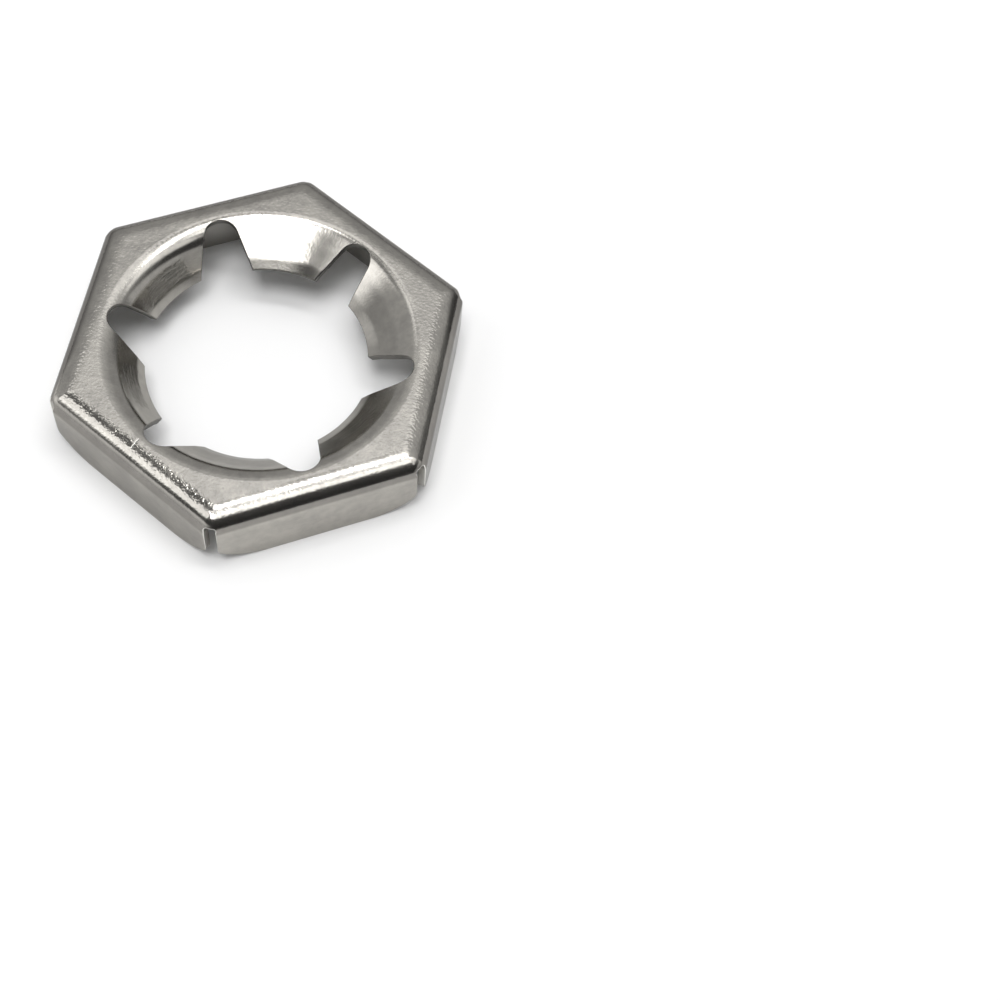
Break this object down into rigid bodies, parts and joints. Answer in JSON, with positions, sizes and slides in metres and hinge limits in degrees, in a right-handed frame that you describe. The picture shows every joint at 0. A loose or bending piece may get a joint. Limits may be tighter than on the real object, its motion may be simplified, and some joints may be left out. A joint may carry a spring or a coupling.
{
  "type": "hex lock nut",
  "caption": "Self-locking hexagonal counter nut pressed from stainless sheet: a flat bearing face, folded wrench flanges parted by slits, and spring tongues that bite into the bolt's thread.",
  "frame": {"origin": "on the thread axis, in the plane of the flanges' free edges", "axes": "+Z along the thread axis, out of the flat bearing face; +X through the middle of one side; +Y through a corner"},
  "size_m": [0.036, 0.0408, 0.0072],
  "materials": {
    "stainless_sheet": "satin, tumbled after pressing"
  },
  "bodies": {
    "root": {"lock_nut": "stainless_sheet"}
  },
  "joints": []
}
